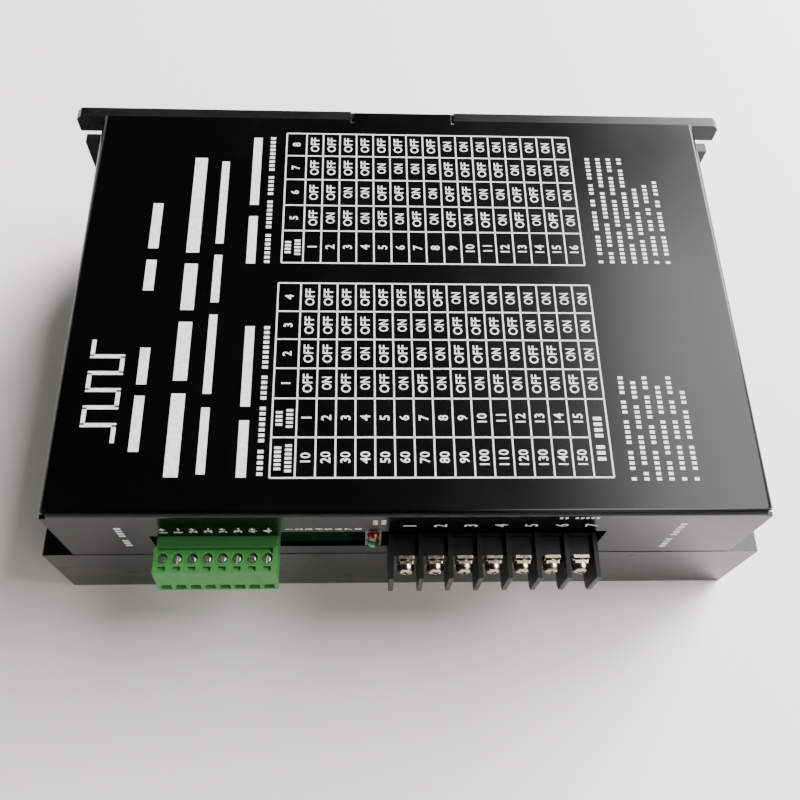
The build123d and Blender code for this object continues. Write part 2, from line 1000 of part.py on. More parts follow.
def mains_fuse():
    x, y = fuse_at
    half = fuse_length / 2
    tube = rod(fuse_r - 0.3, (x - half + 1, y, fuse_level), (x + half - 1, y, fuse_level))
    for side in (-1, 1):
        outer = x + side * half
        tube += rod(fuse_r, (outer, y, fuse_level), (outer - side * fuse_cap, y, fuse_level))
    return tube


def fuse_clip(side):
    x, y = fuse_at
    middle = x + side * (fuse_length - fuse_cap) / 2
    reach = fuse_r + 0.5
    clip = block(middle - 2, middle + 2, y - reach, y + reach, board_top, fuse_level + 1.5)
    clip -= rod(fuse_r + thread_clear, (middle - 3, y, fuse_level), (middle + 3, y, fuse_level))
    mouth = fuse_r * 0.75
    clip -= block(middle - 3, middle + 3, y - mouth, y + mouth, fuse_level, fuse_level + 3)
    return clip


def ring_part(inner_r, outer_r, low, high):
    x, y = choke_at
    outer = rod(outer_r, (x, y, low), (x, y, high))
    return outer - rod(inner_r, (x, y, low - 1), (x, y, high + 1))


choke_low = board_top + choke_wire_t


def choke_core():
    return ring_part(choke_hole_r, choke_r, choke_low, choke_low + choke_h)


def choke_winding(side):
    """One wound arc of the ring, as a sleeve round the core."""
    sleeve = ring_part(
        choke_hole_r - choke_wire_t, choke_r + choke_wire_t, board_top, choke_low + choke_h + choke_wire_t
    )
    sleeve -= ring_part(choke_hole_r, choke_r, choke_low, choke_low + choke_h)
    half = math.radians(choke_arc / 2)
    reach = 3 * choke_r
    x, y = choke_at
    rise = reach * math.sin(half)
    across = reach * math.cos(half)
    corners = ((0, 0), (across, rise), (reach, rise), (reach, -rise), (across, -rise))
    wedge = [(x + side * dx, y + dy, board_top - 1) for dx, dy in corners]
    sector = extrude(make_face(Polyline(*wedge, close=True)), choke_h + 8, dir=(0, 0, 1))
    return sleeve & sector


def transformer_core():
    x, y = core_at
    core = stood_on(x, y, board_top, core_size)
    window_w = (core_size[0] - core_leg) / 2 - core_leg / 2
    window_h = core_size[2] - core_leg
    for side in (-1, 1):
        window_x = x + side * (core_leg + window_w) / 2
        core -= Pos(window_x, y, board_top + core_size[2] / 2) * Box(window_w, core_size[1] + 1, window_h)
    return core


def transformer_coil():
    x, y = core_at
    middle = board_top + core_size[2] / 2
    height = core_size[2] - core_leg - 2 * coil_clear
    coil = Pos(x, y, middle) * Box(coil_w, coil_depth, height)
    coil = fillet(coil.edges().filter_by(Axis.Z), 1.5)
    leg = Pos(x, y, middle) * Box(core_leg + 2 * coil_clear, core_size[1] + 2 * coil_clear, height + 1)
    return coil - leg


def chip_with_legs(x, y, size, count, pitch, four_sides):
    """A moulded chip with gull legs along two or four sides."""
    length, width, height = size
    body = stood_on(x, y, board_top + 0.15, (length, width, height))
    legs = []
    for i in range(count):
        along = (i - (count - 1) / 2) * pitch
        for side in (-1, 1):
            legs.append(stood_on(x + side * (length / 2 + 0.4), y + along, board_top, (1.0, 0.35, 0.6)))
            if four_sides:
                legs.append(stood_on(x + along, y + side * (width / 2 + 0.4), board_top, (0.35, 1.0, 0.6)))
    for leg in legs:
        body += leg
    return body


# Writing the nodes

save("heatsink", heatsink())
save("cover", cover())
corners = [(side, y) for side in (-1, 1) for y in (-bracket_y, bracket_y)]
save("cover_brackets", *[cover_bracket(side, y) for side, y in corners])
cover_screw_length = sheet_t + bracket_gap + bracket_t + 1.0
save(
    "cover_screws",
    *[
        small_screw((side * cover_end, y, cover_screw_z), (side, 0, 0), cover_screw_length, angle=25 * side)
        for side, y in corners
    ],
)
bracket_screw_length = bracket_t + plate_t - 1.0 - screw_end_room
save(
    "bracket_screws",
    *[
        small_screw((bracket_foot_x(side), y, base_top + bracket_t), (0, 0, 1), bracket_screw_length)
        for side, y in corners
    ],
)

save("main_board", main_board())
save("board_standoffs", *[standoff(x, y) for x, y in standoff_spots])
board_screw_length = board_t + standoff_h - 2.0
save(
    "board_screws",
    *[small_screw((x, y, board_top), (0, 0, 1), board_screw_length) for x, y in standoff_spots],
)

save("signal_header", signal_header())
save("header_pins", *[header_pin(x) for x in signal_xs])
save("plug_housing", plug_housing())
save("plug_cages", *[plug_cage(x) for x in signal_xs])
for number, (x, angle) in enumerate(zip(signal_xs, plug_slot_angles), 1):
    save(f"plug_screw_{number}", plug_screw(x, angle))

save("switch_body", switch_body())
for number, x in enumerate(switch_xs, 1):
    save(f"switch_slider_{number}", switch_slider(x))

save("lamp_holder", lamp_holder())
save("green_lamp", lamp(lamp_levels[0]))
save("red_lamp", lamp(lamp_levels[1]))

save("barrier_block", barrier_block())
save("barrier_plates", *[barrier_plate(x) for x in power_xs])
save("barrier_washers", *[barrier_washer(x) for x in power_xs])
for number, (x, angle) in enumerate(zip(power_xs, terminal_cross_angles), 1):
    save(f"barrier_screw_{number}", barrier_screw(x, angle))

save("power_transistors", *[power_transistor(x) for x in transistor_xs])
save("insulating_strip", insulating_strip())
save("clamp_bar", clamp_bar())
save(
    "clamp_screws",
    *[
        small_screw((x, clamp_bar_back - clamp_bar_t, clamp_bar_mid), (0, -1, 0), clamp_screw_length)
        for x in clamp_screw_xs
    ],
)
save("bridge_rectifier", bridge_rectifier())
save("bulk_capacitors", *[bulk_capacitor(x) for x in capacitor_x])
save("inrush_relay", inrush_relay())
save("thermistor", thermistor())
save("mains_fuse", mains_fuse())
save("fuse_clips", fuse_clip(-1), fuse_clip(1))
save("choke_core", choke_core())
save("choke_windings", choke_winding(-1), choke_winding(1))
save("transformer_core", transformer_core())
save("transformer_coil", transformer_coil())
save("control_chip", chip_with_legs(*chip_at, (chip_size, chip_size, chip_t), 11, 0.9, True))
driver_y = board_back - driver_back_inset
save("gate_drivers", *[chip_with_legs(x, driver_y, driver_size, 8, 1.27, False) for x in driver_xs])
coupler_y = board_front + coupler_front_inset
save(
    "optocouplers",
    *[chip_with_legs(x, coupler_y, coupler_size, 2, 2.54, False) for x in signal_xs[::2]],
)
shunt_y = board_back - shunt_back_inset
save("shunt_resistors", *[stood_on(x, shunt_y, board_top, shunt_size) for x in shunt_xs])
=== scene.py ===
import json
import math

import bmesh
import bpy
from mathutils import Matrix, Vector


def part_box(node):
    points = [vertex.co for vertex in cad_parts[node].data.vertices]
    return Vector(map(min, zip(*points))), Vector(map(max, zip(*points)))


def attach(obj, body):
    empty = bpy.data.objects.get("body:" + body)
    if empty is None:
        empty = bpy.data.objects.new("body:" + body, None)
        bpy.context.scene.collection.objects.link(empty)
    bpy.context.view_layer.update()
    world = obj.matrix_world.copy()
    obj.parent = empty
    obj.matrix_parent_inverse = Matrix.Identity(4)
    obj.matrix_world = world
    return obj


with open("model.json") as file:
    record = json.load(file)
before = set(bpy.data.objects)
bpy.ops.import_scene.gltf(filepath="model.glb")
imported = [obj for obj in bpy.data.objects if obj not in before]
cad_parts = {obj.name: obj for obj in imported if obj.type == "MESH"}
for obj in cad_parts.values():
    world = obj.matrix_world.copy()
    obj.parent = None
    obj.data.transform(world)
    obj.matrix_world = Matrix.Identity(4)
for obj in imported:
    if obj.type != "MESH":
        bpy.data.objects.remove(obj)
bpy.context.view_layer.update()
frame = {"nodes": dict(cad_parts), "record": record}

mm = 0.001


# camera

cameraSetup = {
    "place": (-0.013689, -0.138673, 0.276377),
    "turn": (0.45709, -0.04264, -0.01876),
    "lens": 40.655,
    "sensor": 36.0,
    "clip": (0.01, 20.0),
}


def addToScene(item):
    bpy.context.scene.collection.objects.link(item)


def placeCamera(setup):
    data = bpy.data.cameras.new("camera")
    data.lens = setup["lens"]
    data.sensor_width = setup["sensor"]
    data.clip_start, data.clip_end = setup["clip"]
    holder = bpy.data.objects.new("camera", data)
    holder.location = setup["place"]
    holder.rotation_euler = setup["turn"]
    addToScene(holder)
    bpy.context.scene.camera = holder


placeCamera(cameraSetup)
print("camera placed")


# shader maths: a wire is one socket, and sums on wires add their own nodes

class Wire:
    def __init__(self, finish, socket):
        self.finish = finish
        self.socket = socket

    def join(self, operation, first, second):
        return self.finish.add("ShaderNodeMath", {"operation": operation}, {0: first, 1: second})

    def __add__(self, other):
        return self.join("ADD", self, other)

    def __radd__(self, other):
        return self.join("ADD", other, self)

    def __mul__(self, other):
        return self.join("MULTIPLY", self, other)

    def __rmul__(self, other):
        return self.join("MULTIPLY", other, self)

    def __gt__(self, other):
        return self.join("GREATER_THAN", self, other)

    def __lt__(self, other):
        return self.join("LESS_THAN", self, other)


class Finish:
    def __init__(self, name, **fixed):
        self.material = bpy.data.materials.new(name)
        self.material.use_nodes = True
        self.tree = self.material.node_tree
        self.shader = self.tree.nodes["Principled BSDF"]
        for socket, value in fixed.items():
            self.shader.inputs[socket.replace("_", " ")].default_value = value

    def add(self, kind, settings=None, sockets=None, out=0):
        node = self.tree.nodes.new(kind)
        for name, value in (settings or {}).items():
            if name == "stops":
                while len(node.color_ramp.elements) < len(value):
                    node.color_ramp.elements.new(1.0)
                for element, (place, colour) in zip(node.color_ramp.elements, value):
                    element.position = place
                    element.color = colour
            else:
                setattr(node, name, value)
        for name, value in (sockets or {}).items():
            if isinstance(value, Wire):
                self.tree.links.new(value.socket, node.inputs[name])
            else:
                node.inputs[name].default_value = value
        return Wire(self, node.outputs[out])

    def feed(self, socket, wire):
        self.tree.links.new(wire.socket, self.shader.inputs[socket])

    def place(self):
        return self.add("ShaderNodeTexCoord", out="Object")

    def stretched(self, scale):
        return self.add("ShaderNodeMapping", {}, {"Vector": self.place(), "Scale": scale})

    def noise(self, scale, detail=3.0, rough=0.55, where=None):
        sockets = {"Vector": where or self.place(), "Scale": scale, "Detail": detail, "Roughness": rough}
        return self.add("ShaderNodeTexNoise", {}, sockets, "Fac")

    def spread(self, wire, low, high, fromLow=0.3, fromHigh=0.7):
        sockets = {"Value": wire, 1: fromLow, 2: fromHigh, 3: low, 4: high}
        return self.add("ShaderNodeMapRange", {}, sockets)

    def blend(self, factor, first, second):
        sockets = {0: factor, 6: first, 7: second}
        return self.add("ShaderNodeMix", {"data_type": "RGBA"}, sockets, 2)

    def bump(self, height, strength, distance):
        sockets = {"Height": height, "Strength": strength, "Distance": distance}
        return self.add("ShaderNodeBump", {}, sockets)


def opaque(red, green, blue):
    return (red, green, blue, 1.0)


# paints and platings

coverPaint = {
    "colour": opaque(0.0005, 0.0009, 0.0006),
    "dust": opaque(0.012, 0.012, 0.011),
    "roughness": (0.2, 0.25),
    "smear": 34.0,
    "specks": 1500.0,
    "speckLevel": 0.765,
    "peel": 2600.0,
}


def makeCoverPaint(look):
    paint = Finish("coverPaint", IOR=1.28)
    smear = paint.noise(look["smear"], detail=5.0, rough=0.6)
    specks = paint.noise(look["specks"], detail=2.0, rough=0.5) > look["speckLevel"]
    haze = paint.spread(smear, 0.0, 0.06, fromLow=0.5, fromHigh=0.85)
    paint.feed("Base Color", paint.blend(haze + specks * 0.5, look["colour"], look["dust"]))
    low, high = look["roughness"]
    paint.feed("Roughness", paint.spread(smear, low, high) + specks * 0.3)
    peel = paint.noise(look["peel"], detail=2.0, rough=0.5)
    paint.feed("Normal", paint.bump(peel, strength=0.10, distance=0.00004))
    return paint.material


heatsinkPaint = {
    "colour": opaque(0.0035, 0.004, 0.0035),
    "worn": opaque(0.012, 0.012, 0.011),
    "roughness": (0.22, 0.3),
    "dieLines": (40.0, 2600.0, 2600.0),
    "smear": 45.0,
    "grain": 1900.0,
}


def makeHeatsinkPaint(look):
    paint = Finish("heatsinkPaint", IOR=1.38)
    lines = paint.noise(1.0, detail=3.0, rough=0.6, where=paint.stretched(look["dieLines"]))
    smear = paint.noise(look["smear"], detail=4.0, rough=0.6)
    paint.feed("Base Color", paint.blend(paint.spread(smear, 0.0, 0.35), look["colour"], look["worn"]))
    low, high = look["roughness"]
    paint.feed("Roughness", paint.spread(smear, low, high) + lines * 0.06)
    grain = paint.noise(look["grain"], detail=2.0, rough=0.5)
    paint.feed("Normal", paint.bump(lines * 0.6 + grain * 0.4, strength=0.14, distance=0.00005))
    return paint.material


plasticLook = {"mottle": 260.0, "grain": 5200.0, "glossSpread": 0.06}


def makePlastic(name, colour, shade, roughness, grainDepth=0.00002, **fixed):
    plastic = Finish(name, **fixed)
    mottle = plastic.noise(plasticLook["mottle"], detail=3.0, rough=0.6)
    plastic.feed("Base Color", plastic.blend(plastic.spread(mottle, 0.0, 1.0), colour, shade))
    spread = plasticLook["glossSpread"]
    plastic.feed("Roughness", plastic.spread(mottle, roughness - spread, roughness + spread))
    grain = plastic.noise(plasticLook["grain"], detail=2.0, rough=0.5)
    plastic.feed("Normal", plastic.bump(grain, strength=0.25, distance=grainDepth))
    return plastic.material


metalLook = {"scratches": (900.0, 900.0, 900.0), "stain": 420.0, "polished": 0.07, "dull": 0.1}


def makeMetal(name, colour, shade, roughness):
    metal = Finish(name, Metallic=1.0)
    scuffs = metal.noise(1.0, detail=4.0, rough=0.65, where=metal.stretched(metalLook["scratches"]))
    stain = metal.noise(metalLook["stain"], detail=4.0, rough=0.6)
    metal.feed("Base Color", metal.blend(metal.spread(stain, 0.0, 1.0), colour, shade))
    gloss = metal.spread(stain, roughness - metalLook["polished"], roughness + metalLook["dull"])
    metal.feed("Roughness", gloss + scuffs * 0.08)
    metal.feed("Normal", metal.bump(scuffs, strength=0.3, distance=0.00002))
    return metal.material


boardLook = {
    "mask": opaque(0.003, 0.055, 0.030),
    "track": opaque(0.004, 0.072, 0.038),
    "tin": opaque(0.5, 0.5, 0.47),
    "cells": 260.0,
    "trackEdge": (0.42, 0.46),
    "padEdge": 0.09,
}


def makeBoard(look):
    board = Finish("boardMask", IOR=1.5, Roughness=0.22)
    cells = board.add(
        "ShaderNodeTexVoronoi",
        {"distance": "MANHATTAN", "feature": "F1"},
        {"Vector": board.place(), "Scale": look["cells"], "Randomness": 0.75},
        "Distance",
    )
    tracks = board.spread(cells, 1.0, 0.0, *look["trackEdge"])
    pads = cells < look["padEdge"]
    masked = board.blend(tracks, look["mask"], look["track"])
    board.feed("Base Color", board.blend(pads, masked, look["tin"]))
    board.feed("Normal", board.bump(tracks, strength=0.3, distance=0.00004))
    return board.material


lampLook = {
    "red": opaque(0.16, 0.007, 0.005),
    "redDeep": opaque(0.09, 0.004, 0.004),
    "green": opaque(0.012, 0.20, 0.075),
    "greenDeep": opaque(0.004, 0.07, 0.03),
}


def makeLens(name, colour, deep):
    # painted glow: the unlit lens gets a faint emission (Emission_Strength 0.02), in its own colour where
    # it faces the camera and in the deeper colour toward its rim
    lens = Finish(
        name, Roughness=0.12, IOR=1.54, Coat_Weight=0.5, Coat_Roughness=0.05, Emission_Strength=0.02
    )
    facing = lens.add("ShaderNodeLayerWeight", {}, {"Blend": 0.4}, "Facing")
    cloud = lens.noise(240.0, detail=2.0, rough=0.5)
    lens.feed("Base Color", lens.blend(lens.spread(cloud, 0.0, 1.0), colour, deep))
    lens.feed("Emission Color", lens.blend(facing, colour, deep))
    return lens.material


markLook = {"ink": opaque(0.68, 0.69, 0.67), "thin": opaque(0.45, 0.46, 0.44), "patches": 900.0}


def makeInk(look):
    ink = Finish("markInk", Roughness=0.5)
    patches = ink.noise(look["patches"], detail=3.0, rough=0.7)
    thin = ink.spread(patches, 0.0, 1.0, fromLow=0.45, fromHigh=0.75)
    ink.feed("Base Color", ink.blend(thin, look["ink"], look["thin"]))
    ink.feed("Normal", ink.bump(patches, strength=0.2, distance=0.00001))
    return ink.material


def makeWire(name, colour, shade, turns, roughness=0.35, metallic=0.7):
    winding = Finish(name, Metallic=metallic, Coat_Weight=0.3)
    bands = winding.add(
        "ShaderNodeTexWave",
        {"bands_direction": "Z"},
        {"Vector": winding.place(), "Scale": turns, "Distortion": 0.6, "Detail": 1.0},
        "Fac",
    )
    # painted shade: the colour falls to the shade colour in the grooves between wire turns and tape wraps,
    # where the bump sinks
    winding.feed("Base Color", winding.blend(bands, shade, colour))
    winding.feed("Roughness", bands * 0.12 + roughness)
    winding.feed("Normal", winding.bump(bands, strength=0.6, distance=0.0002))
    return winding.material


finishes = {
    "cover_black": makeCoverPaint(coverPaint),
    "heatsink_black": makeHeatsinkPaint(heatsinkPaint),
    "black_steel": makeMetal("blackZinc", opaque(0.03, 0.03, 0.032), opaque(0.06, 0.06, 0.06), 0.36),
    "zinc_steel": makeMetal("zincPlate", opaque(0.62, 0.61, 0.57), opaque(0.45, 0.44, 0.4), 0.32),
    "brass": makeMetal("brassBar", opaque(0.78, 0.58, 0.26), opaque(0.62, 0.44, 0.18), 0.28),
    "board_green": makeBoard(boardLook),
    "header_green": makePlastic(
        "headerGreen", opaque(0.04, 0.165, 0.042), opaque(0.035, 0.15, 0.037), 0.5, IOR=1.33
    ),
    "plug_green": makePlastic(
        "plugGreen", opaque(0.043, 0.2, 0.046), opaque(0.038, 0.18, 0.04), 0.5, IOR=1.33
    ),
    "tinned": makeMetal("tinPlate", opaque(0.72, 0.71, 0.67), opaque(0.55, 0.54, 0.5), 0.28),
    "nickel": makeMetal("nickelPlate", opaque(0.56, 0.49, 0.39), opaque(0.34, 0.28, 0.2), 0.2),
    "screw_steel": makeMetal("screwZinc", opaque(0.62, 0.6, 0.54), opaque(0.4, 0.38, 0.33), 0.3),
    "switch_red": makePlastic("switchRed", opaque(0.45, 0.02, 0.012), opaque(0.36, 0.015, 0.01), 0.3),
    "white": makePlastic("whitePlastic", opaque(0.8, 0.8, 0.76), opaque(0.7, 0.7, 0.66), 0.4),
    "lamp_grey": makePlastic("holderGrey", opaque(0.11, 0.11, 0.1), opaque(0.09, 0.09, 0.08), 0.45),
    "lamp_red": makeLens("redLens", lampLook["red"], lampLook["redDeep"]),
    "lamp_green": makeLens("greenLens", lampLook["green"], lampLook["greenDeep"]),
    "barrier_black": makePlastic(
        "barrierBlack", opaque(0.003, 0.0035, 0.003), opaque(0.005, 0.0055, 0.005), 0.36, 0.00004, IOR=1.24
    ),
    "package_black": makePlastic(
        "packageBlack", opaque(0.02, 0.02, 0.022), opaque(0.03, 0.03, 0.03), 0.55, 0.00004
    ),
    "insulator_grey": makePlastic("siliconeFilm", opaque(0.42, 0.45, 0.44), opaque(0.36, 0.39, 0.38), 0.6),
    "sleeve_black": makePlastic(
        "shrinkSleeve", opaque(0.015, 0.015, 0.035), opaque(0.03, 0.03, 0.05), 0.28
    ),
    "relay_blue": makePlastic("relayBlue", opaque(0.02, 0.09, 0.32), opaque(0.018, 0.075, 0.27), 0.35),
    "thermistor_green": makePlastic(
        "lacquerGreen", opaque(0.02, 0.09, 0.04), opaque(0.03, 0.12, 0.05), 0.25
    ),
    "fuse_glass": makeMetal("fuseCaps", opaque(0.7, 0.7, 0.68), opaque(0.5, 0.5, 0.48), 0.22),
    "clip_metal": makeMetal("clipMetal", opaque(0.7, 0.62, 0.44), opaque(0.5, 0.43, 0.28), 0.3),
    "ferrite": makePlastic(
        "ferriteGrey", opaque(0.04, 0.04, 0.045), opaque(0.06, 0.06, 0.062), 0.62, 0.00006
    ),
    "copper": makeWire("enamelledCopper", opaque(0.62, 0.2, 0.07), opaque(0.2, 0.06, 0.02), 320.0),
    "tape_yellow": makeWire("windingTape", opaque(0.72, 0.5, 0.04), opaque(0.6, 0.4, 0.03), 70.0, 0.4, 0.0),
    "resistor_black": makePlastic("chipBlack", opaque(0.02, 0.02, 0.02), opaque(0.035, 0.035, 0.035), 0.4),
}
inkFinish = makeInk(markLook)


def finishNodes():
    slotOf = {part["node"]: part["material_slot"] for part in frame["record"]["subparts"]}
    for name, node in frame["nodes"].items():
        finish = finishes[slotOf[name]]
        if not node.material_slots:
            node.data.materials.append(finish)
        for holder in node.material_slots:
            holder.material = finish


finishNodes()
print("finishes given to", len(frame["nodes"]), "nodes")


# soft edges on the moulded pieces, where the mould leaves a small round

edgeLook = {"angle": 40, "segments": 2, "weld": 0.001}
softEdges = {
    # node: width in millimetres
    "plug_housing": 0.16,
    "signal_header": 0.14,
    "barrier_block": 0.2,
    "heatsink": 0.18,
    "cover": 0.1,
    "lamp_holder": 0.1,
    "switch_body": 0.15,
    "barrier_plates": 0.12,
    "barrier_washers": 0.12,
}


def softenEdges(widths, look):
    for name, width in widths.items():
        node = frame["nodes"][name]
        weld = node.modifiers.new("weld", "WELD")
        weld.merge_threshold = look["weld"] * mm
        bevel = node.modifiers.new("soft", "BEVEL")
        bevel.width = width * mm
        bevel.segments = look["segments"]
        bevel.limit_method = "ANGLE"
        bevel.angle_limit = math.radians(look["angle"])
        bevel.use_clamp_overlap = True
        bevel.harden_normals = True


softenEdges(softEdges, edgeLook)
print("edges softened")


# printed marks: flat ink of real thickness, in bars, blocks, numbers and ON and OFF

inkLook = {
    "lift": 0.012,
    "thick": 0.02,
    "weight": 0.018,
    "narrow": 0.92,  # width of a free mark, as a share of its natural width
    "fill": 0.6,  # inked share of each block's pitch
    "curveSteps": 2,
    "weld": 0.0004,
    "sliver": 0.0002,
}


class Ink:
    def __init__(self, name, plane):
        self.name = name
        self.plane = plane
        self.low = inkLook["lift"] * mm
        self.high = (inkLook["lift"] + inkLook["thick"]) * mm
        self.mesh = bmesh.new()
        self.outlines = {}

    def bar(self, x0, y0, x1, y1):
        corners = ((x0, y0), (x1, y0), (x1, y1), (x0, y1))
        bottom = [self.mesh.verts.new((x * mm, y * mm, self.low)) for x, y in corners]
        top = [self.mesh.verts.new((x * mm, y * mm, self.high)) for x, y in corners]
        self.mesh.faces.new(reversed(bottom))
        self.mesh.faces.new(top)
        for i in range(4):
            j = (i + 1) % 4
            self.mesh.faces.new((bottom[i], bottom[j], top[j], top[i]))

    # a printed line as plain blocks along y, or along x when level: counts gives the blocks
    # in each run, and a solid run is one long bar
    def blocks(self, x, y, height, length, counts, level=False, solid=False):
        pitch = length / (sum(counts) + len(counts) - 1)
        gap = (1 - inkLook["fill"]) * pitch
        along = -length / 2
        for count in counts:
            for cells in [count] if solid else [1] * count:
                wide = cells * pitch - gap
                if level:
                    self.bar(x + along, y - height / 2, x + along + wide, y + height / 2)
                else:
                    self.bar(x - height / 2, y + along, x + height / 2, y + along + wide)
                along += cells * pitch
            along += pitch

    def outline(self, words, weight):
        key = (words, weight)
        if key not in self.outlines:
            curve = bpy.data.curves.new("letters", "FONT")
            curve.body = words
            curve.size = 1.0
            curve.offset = weight
            curve.extrude = 0.5
            curve.resolution_u = inkLook["curveSteps"]
            curve.align_x = "CENTER"
            holder = bpy.data.objects.new("letters", curve)
            addToScene(holder)
            bpy.context.view_layer.update()
            seen = holder.evaluated_get(bpy.context.evaluated_depsgraph_get())
            mesh = bpy.data.meshes.new_from_object(seen)
            points = [vertex.co.copy() for vertex in mesh.vertices]
            faces = [tuple(face.vertices) for face in mesh.polygons]
            bpy.data.objects.remove(holder)
            bpy.data.meshes.remove(mesh)
            wide = [point.x for point in points]
            tall = [point.y for point in points]
            self.outlines[key] = (points, faces, (min(wide), max(wide), min(tall), max(tall)))
        return self.outlines[key]

    # words centred on x, y and read along y, as tall as height, squeezed to length
    def words(self, words, x, y, height, length=None, weight=inkLook["weight"]):
        points, faces, (left, right, low, high) = self.outline(words, weight)
        rise = height / (high - low)
        run = length / (right - left) if length else rise * inkLook["narrow"]
        made = []
        for point in points:
            across = (point.x - (left + right) / 2) * run
            up = (point.y - (low + high) / 2) * rise
            level = self.high if point.z > 0 else self.low
            made.append(self.mesh.verts.new(((x - up) * mm, (y + across) * mm, level)))
        for face in faces:
            self.mesh.faces.new([made[i] for i in face])

    def finish(self):
        bmesh.ops.remove_doubles(self.mesh, verts=self.mesh.verts, dist=inkLook["weld"] * mm)
        bmesh.ops.dissolve_degenerate(self.mesh, edges=self.mesh.edges, dist=inkLook["sliver"] * mm)
        bmesh.ops.recalc_face_normals(self.mesh, faces=self.mesh.faces)
        data = bpy.data.meshes.new(self.name)
        self.mesh.transform(self.plane)
        self.mesh.to_mesh(data)
        self.mesh.free()
        data.materials.append(inkFinish)
        piece = bpy.data.objects.new(self.name, data)
        addToScene(piece)
        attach(piece, "root")
        return piece


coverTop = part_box("cover")[1].z
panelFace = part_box("cover")[0].y
onTop = Matrix.Translation((0, 0, coverTop))
onPanel = Matrix.Translation((0, panelFace, 0)) @ Matrix.Rotation(math.pi / 2, 4, "X")

tableLook = {
    "line": 0.42,
    "letterHeight": 2.6,
    "switchHeight": 2.392,
    "offLength": 5.5,
    "onLength": 3.8,
    "weight": 0.012,
    "columns": 16,
    "headPitch": 2.7,
    "headHeight": 1.7,
    "headBlock": 1.15,
    "spareMark": (2.2, 13.0, (3, 4)),  # height, length, blocks in each run
}
currentTable = {
    "name": "currentTable",
    "left": -35.3,
    "header": 6.0,
    "right": 51.0,
    "rows": (56.1, 47.4, 38.4, 28.9, 19.8, 8.7),
    "switches": (8, 7, 6, 5),
    "values": (range(1, 17),),
    "headings": ((4, 5),),
}
pulseTable = {
    "name": "pulseTable",
    "left": -35.8,
    "header": 6.3,
    "right": 51.5,
    "rows": (1.9, -7.3, -16.1, -25.0, -33.9, -45.0, -56.1),
    "switches": (4, 3, 2, 1),
    "values": (range(1, 16), range(10, 160, 10)),
    "headings": ((4, 5), (6, 7)),
}


def drawTable(table, look):
    ink = Ink(table["name"], onTop)
    rows = table["rows"]
    half = look["line"] / 2
    start = table["left"] + table["header"]
    pitch = (table["right"] - start) / look["columns"]
    stops = [start + pitch * i for i in range(look["columns"] + 1)]
    centres = [stop + pitch / 2 for stop in stops[:-1]]
    middles = [(upper + lower) / 2 for upper, lower in zip(rows, rows[1:])]
    headX = table["left"] + table["header"] / 2
    spare = len(table["values"]) > 1  # two rows of values share their last cell

    for x in [table["left"]] + stops:
        ink.bar(x - half, rows[-1], x + half, rows[0])
    for i, y in enumerate(rows):
        end = stops[-2] if spare and i == len(rows) - 2 else stops[-1]
        ink.bar(table["left"], y - half, end, y + half)

    # ON and OFF: each switch is one binary place of the column's number
    for y, switch in zip(middles, table["switches"]):
        ink.words(str(switch), headX, y, look["switchHeight"])
        place = (switch - 1) % len(table["switches"])
        for column, x in enumerate(centres):
            on = column >> place & 1
            length = look["onLength"] if on else look["offLength"]
            ink.words("ON" if on else "OFF", x, y, look["letterHeight"], length, look["weight"])

    valueRows = middles[len(table["switches"]):]
    for y, values, heading in zip(valueRows, table["values"], table["headings"]):
        for x, value in zip(centres, values):
            ink.words(str(value), x, y, look["letterHeight"], weight=look["weight"])
        for line, count in enumerate(heading):
            x = headX + (line - 0.5) * look["headPitch"]
            ink.blocks(x, y, look["headHeight"], look["headBlock"] * count, (count,))
    if spare:
        ink.blocks(centres[-1], rows[-2], *look["spareMark"])
    return ink.finish()


drawTable(currentTable, tableLook)
drawTable(pulseTable, tableLook)
print("tables drawn")

titleLines = (
    # x, y, height, length, cells in each run
    (-70.2, -33.5, 2.6, 31.0, (7, 5)),
    (-71.4, 14.6, 2.8, 31.0, (4, 6)),
    (-60.3, -4.4, 3.6, 103.0, (9, 7, 6, 13)),
    (-53.0, -4.6, 2.2, 101.0, (7, 9, 6, 11)),
    (-43.9, 31.8, 2.5, 47.0, (6, 9)),
    (-42.9, -33.5, 2.5, 45.0, (6, 9)),
)
smallLines = (
    (-39.4, 31.8, 1.5, 46.5, (7, 7, 5, 9)),
    (-38.3, -33.5, 1.5, 44.0, (5, 7, 5, 9)),
)
noteLines = {
    "height": 1.3,
    "pitch": 3.25,
    "blockPitch": 1.45,
    # x of the first line, y where its lines start
    "upper": (55.9, 9.5),
    "lower": (56.6, -57.0),
    # blocks in each run, line by line
    "upperRuns": (
        (1, 5, 5, 2, 3, 6),
        (3, 6, 7, 8),
        (8, 7, 5, 4),
        (5, 4, 7, 5, 2),
        (6, 6, 5),
        (1, 5, 3, 2, 5),
        (1, 5, 5, 2, 4),
    ),
    "lowerRuns": (
        (1, 4, 5, 3, 4),
        (2, 6, 5, 4),
        (6, 4, 5, 3),
        (4, 7, 6),
        (1, 5, 4, 3, 4),
        (1, 5, 6, 3),
    ),
}
waveMark = {"x": -79.8, "y": -31.6, "height": 8.0, "pitch": 5.0, "line": 1.1, "steps": 3}


